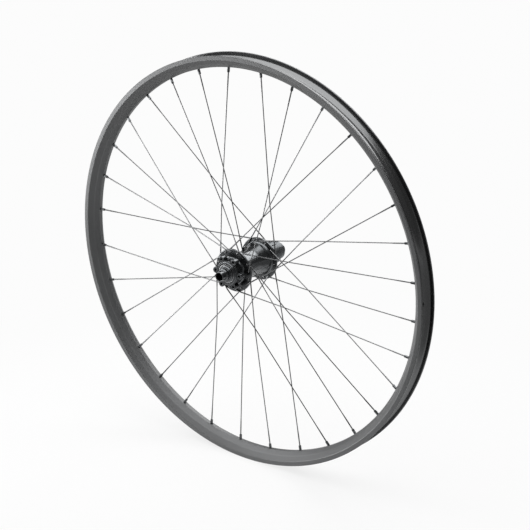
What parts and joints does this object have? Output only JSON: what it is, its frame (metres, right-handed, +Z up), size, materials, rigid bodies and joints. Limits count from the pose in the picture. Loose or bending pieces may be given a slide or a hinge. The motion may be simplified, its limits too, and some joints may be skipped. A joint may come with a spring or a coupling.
{
  "type": "bicycle rear wheel",
  "caption": "Spoked rear bicycle wheel with a hooked double-wall rim, crossed laced spokes, a disc brake hub and a splined freewheel driver.",
  "frame": {"origin": "centre of the wheel, midway between the two end faces of the hub", "axes": "+Y along the axle to the disc side, +Z up, +X forward"},
  "size_m": [0.6339, 0.148, 0.634],
  "materials": {
    "rim_alloy": "satin dark grey anodised",
    "hub_alloy": "gloss black anodised",
    "cap_alloy": "gloss black anodised",
    "axle_alloy": "turned, clear anodised",
    "driver_alloy": "satin black anodised",
    "spoke_steel": "satin black coated stainless steel",
    "nipple_alloy": "satin black anodised",
    "bearing_steel": "ground and hardened",
    "tape": "smooth grey film"
  },
  "bodies": {
    "axle": {"axle": "axle_alloy", "end_cap_disc": "cap_alloy", "end_cap_drive": "cap_alloy"},
    "wheel": {"rim": "rim_alloy", "rim_tape": "tape", "spoke_disc_01": "spoke_steel", "spoke_disc_02": "spoke_steel", "spoke_disc_03": "spoke_steel", "spoke_disc_04": "spoke_steel", "spoke_disc_05": "spoke_steel", "spoke_disc_06": "spoke_steel", "spoke_disc_07": "spoke_steel", "spoke_disc_08": "spoke_steel", "spoke_disc_09": "spoke_steel", "spoke_disc_10": "spoke_steel", "spoke_disc_11": "spoke_steel", "spoke_disc_12": "spoke_steel", "spoke_disc_13": "spoke_steel", "spoke_disc_14": "spoke_steel", "spoke_disc_15": "spoke_steel", "spoke_disc_16": "spoke_steel", "spoke_drive_01": "spoke_steel", "spoke_drive_02": "spoke_steel", "spoke_drive_03": "spoke_steel", "spoke_drive_04": "spoke_steel", "spoke_drive_05": "spoke_steel", "spoke_drive_06": "spoke_steel", "spoke_drive_07": "spoke_steel", "spoke_drive_08": "spoke_steel", "spoke_drive_09": "spoke_steel", "spoke_drive_10": "spoke_steel", "spoke_drive_11": "spoke_steel", "spoke_drive_12": "spoke_steel", "spoke_drive_13": "spoke_steel", "spoke_drive_14": "spoke_steel", "spoke_drive_15": "spoke_steel", "spoke_drive_16": "spoke_steel", "nipples": "nipple_alloy", "hub_shell": "hub_alloy", "bearing_disc_side": "bearing_steel", "bearing_drive_side": "bearing_steel", "ratchet_ring": "bearing_steel"},
    "driver": {"driver_body": "driver_alloy", "bearing_driver": "bearing_steel"},
    "pawl_1": {"pawl_1": "bearing_steel"},
    "pawl_2": {"pawl_2": "bearing_steel"},
    "pawl_3": {"pawl_3": "bearing_steel"}
  },
  "joints": [
    {"name": "wheel_spin", "type": "hinge", "parent": "axle", "child": "wheel", "pos_m": [0, 0, 0], "axis": [0, 1, 0], "continuous": true},
    {"name": "driver_spin", "type": "hinge", "parent": "axle", "child": "driver", "pos_m": [0, 0, 0], "axis": [0, 1, 0], "continuous": true},
    {"name": "pawl_1_pivot", "type": "hinge", "parent": "driver", "child": "pawl_1", "pos_m": [0, -0.02715, 0.0118], "axis": [0, 1, 0], "range_deg": [0, 18], "stiffness_Nm_per_rad": 0.004, "springref_deg": -11.46},
    {"name": "pawl_2_pivot", "type": "hinge", "parent": "driver", "child": "pawl_2", "pos_m": [0.01022, -0.02715, -0.0059], "axis": [0, 1, 0], "range_deg": [0, 18], "stiffness_Nm_per_rad": 0.004, "springref_deg": -11.46},
    {"name": "pawl_3_pivot", "type": "hinge", "parent": "driver", "child": "pawl_3", "pos_m": [-0.01022, -0.02715, -0.0059], "axis": [0, 1, 0], "range_deg": [0, 18], "stiffness_Nm_per_rad": 0.004, "springref_deg": -11.46}
  ]
}
